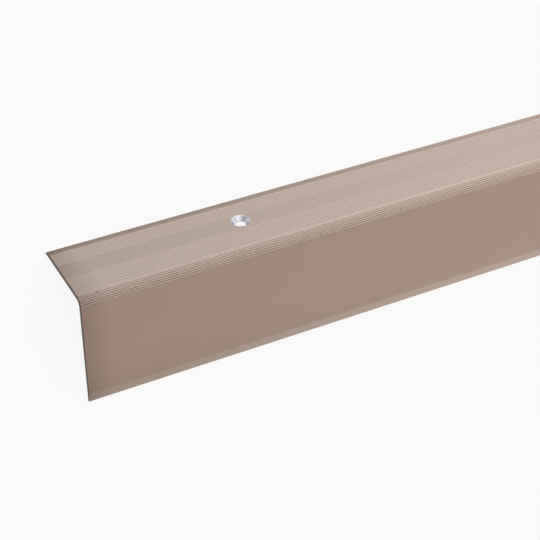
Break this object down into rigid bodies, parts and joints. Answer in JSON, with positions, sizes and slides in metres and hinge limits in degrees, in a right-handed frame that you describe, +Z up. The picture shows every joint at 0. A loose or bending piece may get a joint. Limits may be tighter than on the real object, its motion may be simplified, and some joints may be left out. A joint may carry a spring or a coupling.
{
  "type": "stair nosing",
  "caption": "Long angle-shaped stair nosing of bronze anodised aluminium with a ribbed tread, a ribbed rounded nose, tapered edges and countersunk screw holes.",
  "frame": {"origin": "on the floor, under the middle of the bar's outline", "axes": "+X along the bar, +Z up with the nose on top; the riser leg slopes down to -Y and the tread leg to +Y"},
  "size_m": [1, 0.0844, 0.0415],
  "materials": {
    "bronze_anodised": "satin light bronze anodised extrusion, bare metal in the countersinks"
  },
  "bodies": {
    "root": {"nosing_profile": "bronze_anodised"}
  },
  "joints": []
}
